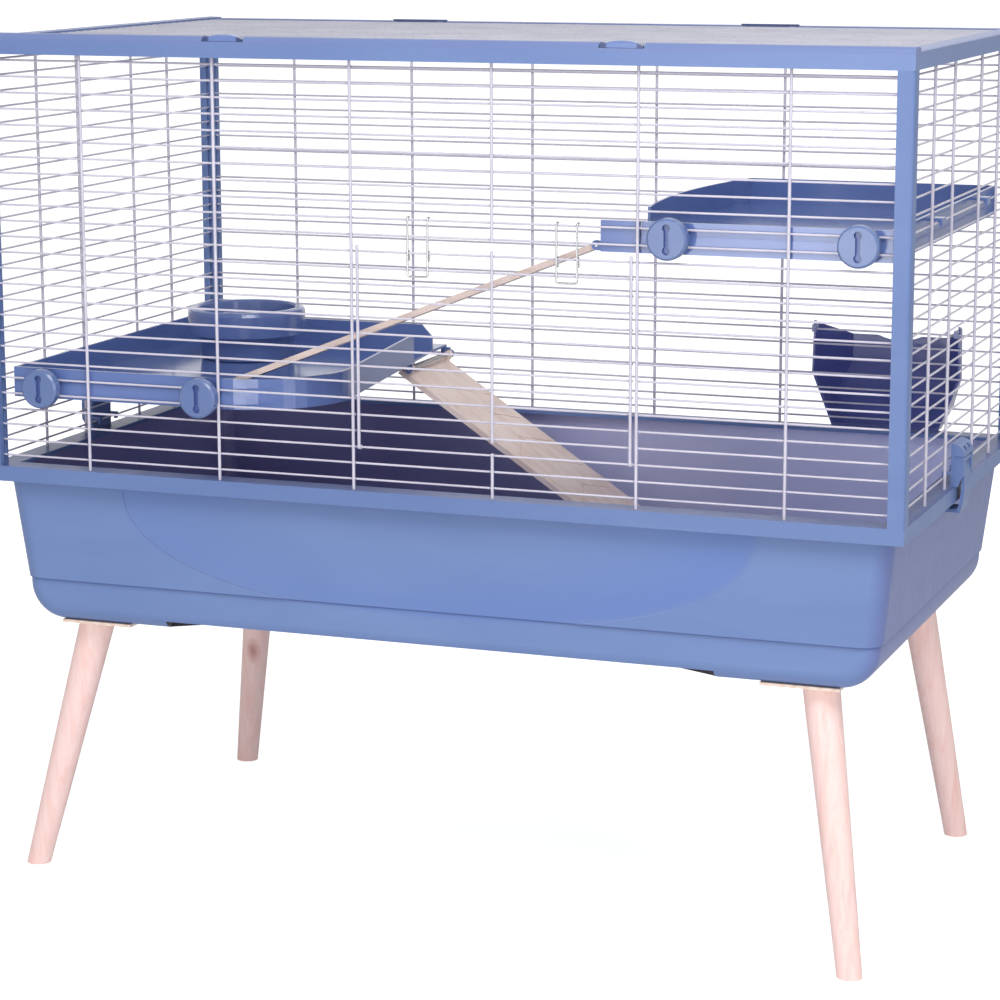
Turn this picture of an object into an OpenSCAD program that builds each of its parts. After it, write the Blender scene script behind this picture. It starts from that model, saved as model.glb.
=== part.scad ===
/* [Cage body] */
// Length over the corner posts
cage_l = 1000; // [960:10:1100]
// Depth over the corner posts
cage_d = 552; // [520:4:640]
// Height of the wire panels that shows between the two frames
panel_h = 436; // [436:1:480]
// Width of a corner post, square
post_w = 17; // [15:1:20]
// Gap left wherever two loose pieces meet
seat_gap = 0.3; // [0.2:0.05:0.5]

/* [Wire] */
// Diameter of the thin cross wires
wire_d = 2.2; // [1.8:0.1:2.6]
// Diameter of the uprights and of the door and lid frames
rod_d = 3.2; // [2.6:0.1:3.8]
// Spacing of the cross wires
wire_pitch = 16.75; // [15:0.25:17]
// Number of cross wires on each wall
wire_rows = 26; // [24:1:26]
// First cross wire above the lower frame
first_wire = 10.7; // [8:0.1:14]
// First upright of a long wall, in from the end of the cage
end_bay = 120.75; // [110:0.25:130]
// Spacing of the two middle uprights on the end walls
end_mid_bay = 130; // [110:1:150]
// Spacing from a middle upright to the next on the end walls
end_side_bay = 91; // [80:1:95]
// Cross wires sit this far inside the outer face
wire_inset = 10; // [9:0.5:12]

/* [Frames] */
// Height of the upright face of both frames
frame_h = 16.5; // [15:0.5:20]
// Width of the top frame's rails
rail_w = 22; // [20:1:26]
// Rise of the rounded crown on the front rail
crown_h = 5.5; // [3:0.5:7]
// Wall of the plastic frames
frame_t = 3; // [2.4:0.2:3.6]
// Width of the lower frame's top plate
plate_w = 26; // [24:1:30]

/* [Tray] */
// Height of the tray, feet included
tray_h = 167.7; // [150:0.1:190]
// Tray wall thickness
tray_t = 3; // [2:0.5:4]
// Tray's end walls start this far inside the frame
tray_end_in = 13; // [13:1:16]
// Tray's long walls start this far inside the frame
tray_side_in = 12; // [12:1:15]
// How much each end wall leans in from top to step
end_lean = 14; // [8:1:20]
// How much each long wall leans in from top to step
side_lean = 9; // [6:1:14]
// Height of the moulded step above the feet
step_h = 46; // [40:1:60]
// Depth of the moulded step
step_in = 2.5; // [1.5:0.5:4]
// Radius of the big bottom corner at the ends
end_r = 40; // [30:1:60]
// Radius of the upright corners above the step
corner_r = 22; // [14:1:30]
// Radius of the long bottom edges and of the corners below the step
low_r = 18; // [10:1:24]
// Height of the feet below the pan
foot_h = 9; // [6:1:12]
// Raised span between the feet starts this far in from the ends
arch_end_in = 195; // [180:5:230]

/* [Stand] */
// Height of a leg
leg_h = 291; // [200:1:400]
// Diameter of a leg at its top
leg_top_d = 38; // [32:1:44]
// Diameter of a leg at the floor
leg_foot_d = 26; // [20:1:30]
// Leg top, in from the end of the cage
leg_end_in = 95; // [80:1:120]
// Leg top, in from the long side of the cage
leg_side_in = 64; // [56:1:86]
// How far a foot stands out along the length
splay_x = 45; // [20:1:70]
// How far a foot stands out along the depth
splay_y = 39; // [10:1:45]
// The front left leg stands out its own way: along the length, and along the depth
odd_splay = [89, -9]; // [-20:1:90]
// Thickness of the stand boards
board_t = 3; // [2:0.5:12]
// Width of a stand board
board_w = 82; // [70:2:120]
// Length of a stand board
board_l = 488; // [470:2:504]
// Diameter of the bolt in a leg
bolt_d = 8; // [6:1:10]

/* [Front door] */
// Bays that the door leaves out, counted from the left wall
door_bays = [2, 4]; // [0:1:5]
// Rows below and above the door, counted from the bottom
door_rows = [2, 15]; // [0:1:25]
// Gap between the door and the uprights beside it
door_side_gap = 3.15; // [2.6:0.05:4]
// Width of a door latch over its legs
door_latch_w = 23.8; // [20:0.1:30]
// Travel of a door latch
door_latch_travel = 6; // [4:0.5:6]

/* [Lid] */
// Distance of the lid's hinges and latches from the middle
lid_fix_x = 212; // [160:2:260]
// Length of a lid latch
lid_latch_l = 44; // [36:1:50]
// Travel of a lid latch
lid_latch_travel = 7; // [4:0.5:7]
// Width of a lid hinge bracket
lid_hinge_w = 66; // [50:1:80]

/* [Tray clips] */
// Width of a clip lever
clip_w = 34; // [26:1:40]
// Clips sit this far from the middle of the end walls
clip_y = -24; // [-26:1:-20]
// Height of the clip pin above the lower frame
clip_pin_h = 27; // [24:1:32]
// Diameter of the clip pin
clip_pin_d = 4; // [3:0.5:5]

/* [Shelves] */
// Height of a shelf's wall
shelf_h = 32; // [28:1:36]
// Wall and floor of a shelf
shelf_t = 3; // [2:0.5:4]
// Row gap that carries the lower shelf's knobs
lower_row = 4; // [3:1:6]
// Row gap that carries the upper shelf's knobs
upper_row = 15; // [12:1:18]
// Lower shelf runs back this far from its front wall
lower_shelf_d = 446; // [400:2:470]
// Upper shelf runs back this far from its front wall
upper_shelf_d = 482; // [440:2:490]
// Length of the straight front of the lower shelf
lower_front_l = 244; // [220:2:250]
// Length of the straight front of the upper shelf
upper_front_l = 250; // [230:2:260]
// Radius of the lower shelf's free corner
lower_corner_r = 100; // [80:2:110]
// Bulge of the upper shelf's curved wall
upper_bulge = 36; // [20:1:50]

/* [Knobs] */
// Diameter of a knob
knob_d = 41; // [36:1:44]
// Thickness of a knob
knob_t = 11; // [8:1:18]
// Diameter of a knob's shaft
knob_shaft_d = 10; // [8:0.5:11]
// Radial clearance of every turning fit
turn_gap = 0.05; // [0.03:0.01:0.1]
// Distances of the lower knobs from the left end of the cage
lower_knobs = [68.4, 253.3]; // [60:0.1:260]
// Distances of the upper knobs from the right end of the cage
upper_knobs = [239.3, 50]; // [40:0.1:250]

/* [Ramps] */
// Width of both ramps
ramp_w = 124; // [100:2:130]
// Thickness of the ramp boards
ramp_t = 6; // [5:0.5:10]
// Reach of the long ramp along the cage
long_run = 461; // [440:1:470]
// Reach of the short ramp along the cage
short_run = 322; // [310:1:350]
// Diameter of the ramp pins
ramp_pin_d = 3; // [2.5:0.5:3.5]
// Pitch of the zigzag grooves
groove_pitch = 46; // [36:1:60]
// Depth of a groove
groove_h = 0.8; // [0.6:0.1:1.2]

/* [Bowl and hay rack] */
// Diameter of the bowl's rim
bowl_d = 134; // [110:2:150]
// Height of the bowl
bowl_h = 58; // [44:1:64]
// Wall of the bowl
bowl_t = 3; // [2:0.5:4]
// Width of the hay rack at the top
rack_w = 172; // [150:2:200]
// Height of the hay rack at the wires
rack_h = 120; // [100:1:130]
// Depth of the hay rack at its shoulder
rack_d = 76; // [60:2:90]
// Wall of the hay rack
rack_t = 2.5; // [2:0.5:3.5]
// Middle of the hay rack, in from the end of the cage
rack_end_in = 150; // [140:1:180]

/* [Hidden] */

round_fn = 48;
wire_fn = 24;
eps = 0.01;

plastic_blue = "#8094CE";
wire_white = "#DCDCE0";
leg_pink = "#F2CFC9";
board_cream = "#F0DCD0";
ramp_wood = "#E2CDBF";
steel = "#B8BCC2";
rack_blue = "#464A8C";

// heights, from the floor up
z_board = leg_h;
z_tray = z_board + board_t;
z_pan = z_tray + foot_h;
z_floor = z_pan + tray_t;
z_step = z_tray + step_h;
z_wall_top = z_tray + tray_h;
plate_t = 4;
z_low = z_wall_top + plate_t;
z_skirt = z_low - frame_h;
z_top = z_low + panel_h;
z_rail = z_top + frame_h;

half_l = cage_l / 2;
half_d = cage_d / 2;
arch_half = half_l - arch_end_in;
leg_top_x = half_l - leg_end_in;
leg_top_y = half_d - leg_side_in;
rack_x = half_l - rack_end_in;
// the outline also takes in the knobs in front and the hay rack behind
weld_gap = 0.05;
rod_step = (rod_d + wire_d) / 2 + weld_gap;
wire_y = half_d - wire_inset;
wire_x = half_l - wire_inset;
rod_y = wire_y + rod_step;
rod_x = wire_x + rod_step;
knob_back = rod_y + rod_d / 2 + 1;
knob_front = knob_back + knob_t;
rack_back = wire_y + rack_d;
cage_y = (knob_front - rack_back) / 2;

long_bay = (cage_l - 2 * end_bay) / 5;
long_rods = [for (i = [-2.5:1:2.5]) i * long_bay];
end_rods = [-end_mid_bay / 2 - end_side_bay, -end_mid_bay / 2,
            end_mid_bay / 2, end_mid_bay / 2 + end_side_bay];
wire_engage = 2;
groove_w = wire_d + 1.4;
groove_in = wire_engage + 1;
function row_z(k) = z_low + first_wire + k * wire_pitch;
function gap_z(k) = row_z(k) + wire_pitch / 2;

module at_cage() { translate([0, cage_y, 0]) children(); }

// a straight round bar between two points
module bar(a, b, d) {
  v = b - a;
  len = norm(v);
  translate(a)
    rotate([0, acos(v[2] / len), atan2(v[1], v[0])])
      cylinder(d = d, h = len, $fn = wire_fn);
}

// a quarter turn of wire about the origin, from +x to +y
module quarter(r, d) rotate_extrude(angle = 90, $fn = round_fn) translate([r, 0]) circle(d = d, $fn = wire_fn);

function arc(cx, cy, r, a0, a1, n) =
  [for (i = [0:n]) let (a = a0 + (a1 - a0) * i / n) [cx + r * cos(a), cy + r * sin(a)]];
function mirror_x(pts) = [for (i = [len(pts) - 1:-1:0]) [-pts[i][0], pts[i][1]]];

// ---------- tray ----------
tray_x = half_l - tray_end_in;
tray_y = half_d - tray_side_in;
// middle of the big bottom corner, and of the round edge below the step
end_cx = tray_x - end_lean - step_in - end_r;
end_cz = z_tray + end_r;
low_y = tray_y - side_lean - step_in - low_r;

// one half of an end-on outline: walls lean in to the step; t insets the inner face
function tray_half(top, lean, t, bottom) =
  [[top - t, z_wall_top + (t > 0 ? 1 : 0)], [top - lean - t, z_step + t],
   [top - lean - step_in - t, z_step + t], [top - lean - step_in - t, bottom]];

module tray_prism(t, bottom) {
  a = tray_half(tray_x, end_lean, t, bottom);
  b = tray_half(tray_y, side_lean, t, bottom);
  difference() {
    intersection() {
      rotate([90, 0, 0]) linear_extrude(cage_d, center = true) polygon(concat(a, mirror_x(a)));
      rotate([90, 0, 90]) linear_extrude(cage_l, center = true) polygon(concat(b, mirror_x(b)));
    }
    for (s = [-1, 1]) mirror([s < 0 ? 1 : 0, 0, 0]) end_round(t);
    for (s = [-1, 1]) mirror([0, s < 0 ? 1 : 0, 0]) side_round(t, bottom);
    for (sx = [-1, 1], sy = [-1, 1])
      mirror([sx < 0 ? 1 : 0, 0, 0]) mirror([0, sy < 0 ? 1 : 0, 0]) {
        corner_round(t);
        low_corner_round(t);
      }
  }
}
// what the big bottom corner takes off
module end_round(t) {
  difference() {
    translate([end_cx, -half_d, z_tray - 5]) cube([end_r + 5, cage_d, end_r + 5]);
    translate([end_cx, 0, end_cz]) rotate([90, 0, 0]) cylinder(r = end_r - t, h = cage_d + 2, center = true, $fn = 96);
  }
}
// what the round long edge takes off
module side_round(t, bottom) {
  r = low_r - t;
  difference() {
    translate([-half_l, low_y, bottom - 5]) cube([cage_l, low_r + 5, r + 5]);
    translate([0, low_y, bottom + r]) rotate([0, 90, 0]) cylinder(r = r, h = cage_l + 2, center = true, $fn = 64);
  }
}
// what a round upright corner takes off: a bar along the leaning edge, less a round bar
module corner_round(t) {
  r = corner_r - t;
  h = z_wall_top - z_step;
  a = atan(end_lean / h);
  b = atan(side_lean / h);
  long = norm([end_lean, side_lean, h]);
  tilt = acos(h / long);
  turn = atan2(side_lean, end_lean);
  n1 = [cos(a) * cos(tilt) * cos(turn) + sin(a) * sin(tilt), -cos(a) * sin(turn)] * 3 * r;
  n2 = [cos(b) * cos(tilt) * sin(turn) + sin(b) * sin(tilt), cos(b) * cos(turn)] * 3 * r;
  translate([tray_x - end_lean - t - r / cos(a), tray_y - side_lean - t - r / cos(b), z_step])
    rotate([0, tilt, turn]) translate([0, 0, t - 4]) difference() {
      linear_extrude(long + 12) polygon([[0, 0], n1, n1 + n2, n2]);
      translate([0, 0, -1]) cylinder(r = r, h = long + 14, $fn = 64);
    }
}
// below the step the round corner follows the big bottom corner
module low_corner_round(t) {
  r = low_r - t;
  translate([end_cx, 0, end_cz]) {
    difference() {
      translate([end_r - low_r, low_y, 0]) cube([low_r + 5, low_r + 5, step_h - end_r + t]);
      translate([end_r - low_r, low_y, -1]) cylinder(r = r, h = step_h + 2, $fn = 64);
    }
    rotate([-90, 0, 0]) difference() {
      rotate_extrude(angle = 90, $fn = 96) translate([end_r - low_r, low_y]) square([low_r + 5, low_r + 5]);
      rotate_extrude(angle = 90, $fn = 96) translate([end_r - low_r, low_y]) circle(r = r, $fn = 64);
    }
  }
}

boss_r = 7;
screw_d = 4;
screw_y = leg_top_y - 62;
module screw_places() {
  for (sx = [-1, 1], sy = [-1, 1]) translate([sx * leg_top_x, sy * screw_y, 0]) children();
}

smile_w = 690;
smile_h = 115;
smile_in = 0.7;
catch_w = clip_w - 6;
toe_l = 62;
module tray() color(plastic_blue) at_cage() {
  difference() {
    tray_prism(0, z_tray);
    tray_prism(tray_t, z_floor);
    // the arch between the feet runs right through
    rotate([90, 0, 0]) linear_extrude(cage_d, center = true)
      polygon([[-arch_half - 1, z_tray - 1], [arch_half + 1, z_tray - 1],
               [arch_half - foot_h, z_pan], [-arch_half + foot_h, z_pan]]);
    // each foot is a hollow pod, open below
    for (s = [-1, 1]) {
      pod_l = end_cx - arch_half - 2 * tray_t;
      translate([s * (arch_half + tray_t + pod_l / 2), 0, z_tray + foot_h / 2 - 1])
        cube([pod_l, 2 * (low_y - tray_t), foot_h + 2], center = true);
    }
    // shallow curved panel pressed into the front wall
    smile_recess();
  }
  screw_places() translate([0, 0, z_tray])
    difference() {
      cylinder(r = boss_r, h = foot_h + eps, $fn = round_fn);
      translate([0, 0, -1]) cylinder(d = screw_d + 0.2, h = foot_h + 1, $fn = round_fn);
    }
  // behind the front wall each foot slopes up to the pan
  for (s = [-1, 1])
    rotate([90, 0, 0]) linear_extrude(2 * (low_y + 4), center = true)
      polygon([[s * (arch_half + 1), z_tray + 0.4], [s * (arch_half + 1), z_pan + eps], [s * (arch_half - toe_l), z_pan + eps]]);
  // ribs that the clip levers catch
  for (s = [-1, 1])
    translate([s * (tray_x + 0.5) - 4, clip_y - catch_w / 2, z_skirt - 8]) cube([8, catch_w, 4]);
}

module smile_recess() {
  lean = atan((side_lean) / (z_wall_top - z_step));
  translate([0, -tray_y, z_wall_top])
    rotate([lean, 0, 0]) translate([0, smile_in, -frame_h])
      rotate([90, 0, 0]) linear_extrude(2 * smile_in)
        polygon([for (a = [0:4:180])
          [sign(cos(a)) * pow(abs(cos(a)), 0.88) * smile_w / 2, -pow(sin(a), 0.88) * smile_h]]);
}

// ---------- frames and posts ----------
tenon = 8;
tenon_h = 10;
post_c = post_w / 2;
module at_posts() {
  for (sx = [-1, 1], sy = [-1, 1])
    translate([sx * (half_l - post_c), sy * (half_d - post_c), 0]) children();
}

module upright_places() {
  for (x = long_rods, s = [-1, 1]) translate([x, s * rod_y, 0]) children();
  for (y = end_rods, s = [-1, 1]) translate([s * rod_x, y, 0]) children();
}

upright_in = 6;
module lower_frame() color(plastic_blue) at_cage() difference() {
  translate([-half_l, -half_d, z_skirt]) cube([cage_l, cage_d, frame_h]);
  translate([-half_l + plate_w, -half_d + plate_w, z_skirt - 1])
    cube([cage_l - 2 * plate_w, cage_d - 2 * plate_w, frame_h + 2]);
  translate([-half_l + frame_t, -half_d + frame_t, z_skirt - 1])
    cube([cage_l - 2 * frame_t, cage_d - 2 * frame_t, frame_h - plate_t + 1]);
  upright_places() translate([0, 0, z_low])
    cube([rod_d + 0.4, rod_d + 0.4, 4 * plate_t], center = true);
  at_posts() translate([0, 0, z_low]) cube([tenon + 0.4, tenon + 0.4, 4 * plate_t], center = true);
}

// cross-section of a top rail: x runs inwards from the outer face, y up from the rail's foot
function rail_outline(crown) =
  let (round_w = 8, back_w = rail_w)
  concat([[0, 0]],
         [for (a = [0:15:90]) [round_w * (1 - cos(a)), frame_h + crown * sin(a)]],
         [[back_w, frame_h + crown * 0.7], [back_w, 0]]);
ledge_w = 9;
ledge_t = 2.5;
ledge_z = z_top + 8;
module rail(length, crown) {
  rotate([90, 0, 90]) linear_extrude(length, center = true) polygon(rail_outline(crown));
}
side_crown = crown_h * 0.3;
rear_crown = 0.2;
module top_frame() color(plastic_blue) at_cage() difference() {
  union() {
    translate([0, -half_d, z_top]) rail(cage_l - 2 * eps, crown_h);
    translate([0, half_d, z_top]) rotate(180) rail(cage_l - 2 * eps, rear_crown);
    translate([-half_l, 0, z_top]) rotate(-90) rail(cage_d - 2 * eps, side_crown);
    translate([half_l, 0, z_top]) rotate(90) rail(cage_d - 2 * eps, side_crown);
    ledge();
  }
  // the rails are channels, open below
  difference() {
    translate([-half_l + frame_t, -half_d + frame_t, z_top - 1])
      cube([cage_l - 2 * frame_t, cage_d - 2 * frame_t, frame_h - plate_t + 1]);
    translate([-half_l + rail_w - frame_t, -half_d + rail_w - frame_t, z_top - 2])
      cube([cage_l - 2 * (rail_w - frame_t), cage_d - 2 * (rail_w - frame_t), frame_h + 4]);
  }
  for (s = [-1, 1]) {
    // seat and slot of a lid latch
    translate([s * lid_fix_x - lid_latch_l / 2 - 1, -half_d - 1, z_rail])
      cube([lid_latch_l + 2, rail_w + 2, crown_h + 2]);
    translate([s * lid_fix_x - keel_w / 2 - 0.3, keel_y - keel_l - lid_latch_travel - 0.3, z_rail - plate_t - 1])
      cube([keel_w + 0.6, keel_l + lid_latch_travel + 0.6, plate_t + 2]);
    // seat of a lid hinge
    translate([s * lid_fix_x - lid_hinge_w / 2 - 0.2, half_d - rail_w - ledge_w - 1, z_top - 1])
      cube([lid_hinge_w + 0.4, ledge_w + 1 + hinge_base, frame_h + 3]);
  }
}
module ledge() {
  o = rail_w - 1;
  i = rail_w + ledge_w;
  difference() {
    translate([-half_l + o, -half_d + o, ledge_z]) cube([cage_l - 2 * o, cage_d - 2 * o, ledge_t]);
    translate([-half_l + i, -half_d + i, ledge_z - 1]) cube([cage_l - 2 * i, cage_d - 2 * i, ledge_t + 2]);
  }
}

// sx and sy say which corner; the grooves face along both walls
module post(sx, sy) color(plastic_blue) at_cage()
  translate([sx * (half_l - post_c), sy * (half_d - post_c), 0]) {
    difference() {
      translate([-post_c, -post_c, z_low]) cube([post_w, post_w, panel_h]);
      translate([-sx * (post_c - groove_in / 2 + 0.5), sy * (post_c - wire_inset), z_low + panel_h / 2])
        cube([groove_in + 1, groove_w, panel_h + 2], center = true);
      translate([sx * (post_c - wire_inset), -sy * (post_c - groove_in / 2 + 0.5), z_low + panel_h / 2])
        cube([groove_w, groove_in + 1, panel_h + 2], center = true);
      // rounded outer corner
      post_round(sx, sy);
    }
    for (z = [z_low - tenon_h + plate_t + 2, z_top - eps])
      translate([-tenon / 2, -tenon / 2, z]) cube([tenon, tenon, z < z_top - 1 ? z_low - z + eps : tenon_h]);
  }
post_r = 3;
module post_round(sx, sy) {
  translate([sx * (post_c - post_r), sy * (post_c - post_r), z_low - 1])
    difference() {
      translate([sx > 0 ? 0 : -post_r - 1, sy > 0 ? 0 : -post_r - 1, 0])
        cube([post_r + 1, post_r + 1, panel_h + 2]);
      translate([0, 0, -1]) cylinder(r = post_r, h = panel_h + 4, $fn = round_fn);
    }
}

// ---------- wire panels ----------
long_wire = half_l - post_w + wire_engage;
end_wire = half_d - post_w + wire_engage;
rod_z0 = z_low - upright_in;
rod_z1 = z_rail - plate_t - seat_gap;

module rear_panel() color(wire_white) at_cage() {
  for (k = [0:wire_rows - 1]) bar([-long_wire, wire_y, row_z(k)], [long_wire, wire_y, row_z(k)], wire_d);
  for (x = long_rods) bar([x, rod_y, rod_z0], [x, rod_y, rod_z1], rod_d);
}

module end_panel(s) color(wire_white) at_cage() {
  for (k = [0:wire_rows - 1])
    bar([s * wire_x, -end_wire, row_z(k)], [s * wire_x, end_wire, row_z(k)], wire_d);
  for (y = end_rods) bar([s * rod_x, y, rod_z0], [s * rod_x, y, rod_z1], rod_d);
}

door_x0 = long_rods[door_bays[0]];
door_x1 = long_rods[door_bays[1]];
door_z0 = row_z(door_rows[0]);
door_z1 = row_z(door_rows[1]);
stub = rod_d / 2 + 0.75;
module front_panel() color(wire_white) at_cage() {
  for (k = [0:wire_rows - 1]) {
    z = row_z(k);
    if (k > door_rows[0] && k < door_rows[1]) {
      bar([-long_wire, -wire_y, z], [door_x0 + stub, -wire_y, z], wire_d);
      bar([door_x1 - stub, -wire_y, z], [long_wire, -wire_y, z], wire_d);
    } else {
      bar([-long_wire, -wire_y, z], [long_wire, -wire_y, z], wire_d);
    }
  }
  for (x = long_rods)
    if (x > door_x0 + 1 && x < door_x1 - 1) {
      bar([x, -rod_y, rod_z0], [x, -rod_y, door_z0 + stub], rod_d);
      bar([x, -rod_y, door_z1 - stub], [x, -rod_y, rod_z1], rod_d);
    } else {
      bar([x, -rod_y, rod_z0], [x, -rod_y, rod_z1], rod_d);
    }
}

// ---------- front door ----------
door_l = door_x0 + door_side_gap + rod_d;
door_r = door_x1 - door_side_gap - rod_d;
door_foot = row_z(door_rows[0] + 1);
door_head = row_z(door_rows[1] - 1);
eye_r = 2.3;
eye_l = 4;
module front_door() color(wire_white) at_cage() {
  for (x = long_rods) if (x > door_x0 + 1 && x < door_x1 - 1)
    bar([x, -rod_y, door_foot - 3.5], [x, -rod_y, door_head + 6], rod_d);
  for (k = [door_rows[0] + 1:door_rows[1] - 1])
    bar([door_l - 1.5, -wire_y, row_z(k)], [door_r + 1.5, -wire_y, row_z(k)], wire_d);
  // the side rods end in eyes that turn on the panel's wire below the door
  for (x = [door_l, door_r])
    difference() {
      union() {
        bar([x, -rod_y, door_z0], [x, -rod_y, door_head + 6], rod_d);
        translate([x - eye_l / 2, -wire_y, door_z0]) rotate([0, 90, 0]) cylinder(r = eye_r, h = eye_l, $fn = round_fn);
      }
      translate([x - eye_l, -wire_y, door_z0]) rotate([0, 90, 0])
        cylinder(d = wire_d + 2 * turn_gap, h = 2 * eye_l, $fn = round_fn);
    }
}

// a sprung wire hoop: its long eyes ride on the door's top wire, its tips hook over the wall's wire
latch_wire = 2.2;
eye_wire = 1.8;
latch_y = wire_y + wire_d / 2 + 0.2 + latch_wire / 2;
latch_tip_z = row_z(door_rows[1] + 1) + wire_d / 2 + 0.3 + latch_wire / 2;
latch_back = wire_y - wire_d / 2 - 1.6;
eye_back = wire_y - wire_d / 2 - 0.5 - latch_wire / 2;
eye_z0 = door_head - wire_d / 2 - door_latch_travel - 1;
eye_z1 = door_head + wire_d / 2 + seat_gap + eye_wire / 2;
latch_foot = door_head - 23.3;
door_latch_x = [door_l + 65.7, door_r - 66.8];
latch_r = 2.4;
module door_latch(i) color(steel) at_cage() {
  half = (door_latch_w - latch_wire) / 2;
  translate([door_latch_x[i], 0, 0]) {
    bar([-half + latch_r, -latch_y, latch_foot], [half - latch_r, -latch_y, latch_foot], latch_wire);
    for (s = [-1, 1]) {
      translate([s * (half - latch_r), -latch_y, latch_foot + latch_r])
        rotate([90, s < 0 ? 180 : 90, 0]) quarter(latch_r, latch_wire);
      bar([s * half, -latch_y, latch_foot + latch_r], [s * half, -latch_y, latch_tip_z - latch_r], latch_wire);
      // back over the wall's wire
      translate([s * half, -latch_y + latch_r, latch_tip_z - latch_r])
        rotate([90, 0, 90]) rotate(90) quarter(latch_r, latch_wire);
      bar([s * half, -latch_y + latch_r, latch_tip_z], [s * half, -latch_back, latch_tip_z], latch_wire);
      // long eye behind the door's top wire
      bar([s * half, -latch_y, eye_z1], [s * half, -eye_back - latch_r, eye_z1], eye_wire);
      translate([s * half, -eye_back - latch_r, eye_z1 - latch_r])
        rotate([90, 0, 90]) quarter(latch_r, eye_wire);
      bar([s * half, -eye_back, eye_z1 - latch_r], [s * half, -eye_back, eye_z0], eye_wire);
    }
  }
}

// ---------- lid ----------
lid_x = half_l - rail_w - 7;
lid_y = half_d - rail_w - 7;
lid_z = ledge_z + ledge_t + seat_gap + rod_d / 2;
lid_rows = floor((2 * lid_y - 20) / wire_pitch);
module roof_lid() color(wire_white) at_cage() {
  for (s = [-1, 1]) {
    bar([-lid_x - 2, s * lid_y, lid_z], [lid_x + 2, s * lid_y, lid_z], rod_d);
    bar([s * lid_x, -lid_y + rod_d / 2 + weld_gap, lid_z], [s * lid_x, lid_y - rod_d / 2 - weld_gap, lid_z], rod_d);
  }
  for (x = long_rods)
    bar([x, -lid_y + rod_d / 2 + weld_gap, lid_z], [x, lid_y - rod_d / 2 - weld_gap, lid_z], rod_d);
  for (k = [0:lid_rows]) {
    y = (k - lid_rows / 2) * wire_pitch;
    bar([-lid_x - 1.5, y, lid_z + rod_step], [lid_x + 1.5, y, lid_z + rod_step], wire_d);
  }
}

hinge_base = 8;
hinge_ear = 8;
hinge_r = 4.2;
module lid_hinges() color(plastic_blue) at_cage()
  for (s = [-1, 1]) translate([s * lid_fix_x, 0, 0])
    difference() {
      union() {
        // back plate in the rear rail, with an ear at each end
        translate([-lid_hinge_w / 2, half_d - rail_w + 1.5, z_top + 1])
          cube([lid_hinge_w, hinge_base - 1.7, frame_h + 1]);
        for (e = [-1, 1]) translate([e * (lid_hinge_w - hinge_ear) / 2 - hinge_ear / 2, 0, 0]) {
          translate([0, lid_y, lid_z]) rotate([0, 90, 0]) cylinder(r = hinge_r, h = hinge_ear, $fn = round_fn);
          translate([0, lid_y, lid_z - hinge_r]) cube([hinge_ear, half_d - rail_w + 2 - lid_y, 2 * hinge_r]);
        }
      }
      translate([-lid_hinge_w, lid_y, lid_z]) rotate([0, 90, 0])
        cylinder(d = rod_d + 2 * turn_gap, h = 2 * lid_hinge_w, $fn = round_fn);
    }

keel_w = 6;
keel_l = 5;
keel_y = -half_d + frame_t + lid_latch_travel + keel_l + 2;
latch_body_w = 15;
latch_body_h = 7;
tongue_w = 28;
tongue_reach = 5;
// drawn slid back, clear of the lid
module lid_latch(s) color(plastic_blue) at_cage() translate([s * lid_fix_x, -lid_latch_travel, 0]) {
  y1 = -half_d + rail_w + 0.5;
  // rounded thumb piece
  translate([0, y1 - latch_body_w, z_rail + seat_gap]) intersection() {
    translate([-lid_latch_l / 2, 0, 0]) cube([lid_latch_l, latch_body_w, latch_body_h]);
    translate([0, latch_body_w / 2, latch_body_h - lid_latch_l * 1.2]) rotate([90, 0, 0])
      cylinder(r = lid_latch_l * 1.2, h = latch_body_w + 2, center = true, $fn = 96);
    translate([0, latch_body_w / 2, latch_body_h - latch_body_w * 0.9]) rotate([0, 90, 0])
      cylinder(r = latch_body_w * 0.9, h = lid_latch_l + 2, center = true, $fn = 96);
  }
  // tongue that goes over the lid's front bar
  translate([-tongue_w / 2, y1 - 4, z_rail + seat_gap])
    cube([tongue_w, -lid_y + tongue_reach - y1 + 4, 2.2]);
  // keel through the rail, with a foot that keeps the latch in
  translate([-keel_w / 2, keel_y - keel_l, z_rail - plate_t - 1.5]) cube([keel_w, keel_l, plate_t + 3]);
  translate([-keel_w, keel_y - keel_l - 1, z_rail - plate_t - 2.5 - seat_gap]) cube([2 * keel_w, keel_l + 2, 2.5]);
}

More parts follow.
